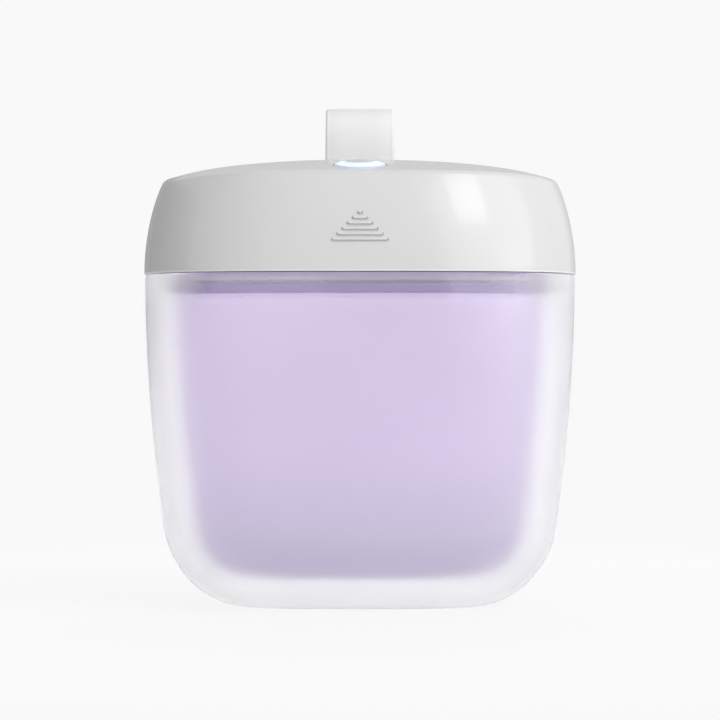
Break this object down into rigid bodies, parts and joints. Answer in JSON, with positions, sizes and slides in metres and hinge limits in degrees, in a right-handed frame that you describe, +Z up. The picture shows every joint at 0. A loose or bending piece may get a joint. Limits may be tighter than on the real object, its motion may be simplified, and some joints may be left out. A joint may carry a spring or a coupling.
{
  "type": "pacifier sterilizer case",
  "caption": "Milky rounded-square case for pacifiers with a glossy domed lid on a rear hinge, lit ring button, hidden lamp board and a strap loop.",
  "frame": {"origin": "centre of the flat face that the case stands on", "axes": "+X to the right seen from the front, +Y to the back where the hinge is, +Z up"},
  "size_m": [0.096, 0.0936, 0.1133],
  "materials": {
    "milky_shell": "milky, see-through, smooth",
    "lilac_cup": "milky, lit from above, satin",
    "neck_lilac": "matt",
    "lid_white": "glossy moulded",
    "cover_white": "satin moulded",
    "ring_glow": "frosted, glowing cyan white",
    "button_grey": "satin",
    "strap_grey": "smooth soft silicone, matt",
    "silicone": "soft matt",
    "quartz": "clear polished",
    "steel": "plain steel",
    "magnet": "nickel plated",
    "lamp_board": "white solder mask on metal core",
    "led_body": "ceramic body",
    "board_green": "solder mask",
    "black_plastic": "moulded",
    "cell": "foil pouch"
  },
  "bodies": {
    "base": {"base_shell": "milky_shell", "inner_cup": "lilac_cup", "neck_ring": "neck_lilac", "hinge_pin": "steel", "base_magnet_left": "magnet", "base_magnet_right": "magnet"},
    "lid": {"lid_shell": "lid_white", "lid_cover": "cover_white", "lid_gasket": "silicone", "lid_magnet_left": "magnet", "lid_magnet_right": "magnet", "uv_window": "quartz", "uv_board": "lamp_board", "uv_led_left": "led_body", "uv_led_middle": "led_body", "uv_led_right": "led_body", "uv_screw_left": "steel", "uv_screw_right": "steel", "indicator_led_left": "led_body", "indicator_led_right": "led_body", "main_board": "board_green", "tact_switch": "black_plastic", "usb_port": "steel", "lid_sensor": "black_plastic", "battery_cell": "cell", "cover_screw_1": "steel", "cover_screw_2": "steel", "cover_screw_3": "steel", "cover_screw_4": "steel", "board_screw_1": "steel", "board_screw_2": "steel", "board_screw_3": "steel", "board_screw_4": "steel", "light_ring": "ring_glow", "strap_bar": "steel"},
    "power_button": {"power_button": "button_grey"},
    "strap": {"strap": "strap_grey"}
  },
  "joints": [
    {"name": "lid_hinge", "type": "hinge", "parent": "base", "child": "lid", "pos_m": [0, 0.047, 0.0731], "axis": [-1, 0, 0], "range_deg": [0, 100]},
    {"name": "power_button_press", "type": "slide", "parent": "lid", "child": "power_button", "axis": [0, 0, -1], "range_m": [0, 0.0005], "stiffness_N_per_m": 1500, "springref_m": -0.0003},
    {"name": "strap_swing", "type": "hinge", "parent": "lid", "child": "strap", "pos_m": [0, 0.0374, 0.0918], "axis": [-1, 0, 0], "range_deg": [-7, 75]}
  ]
}
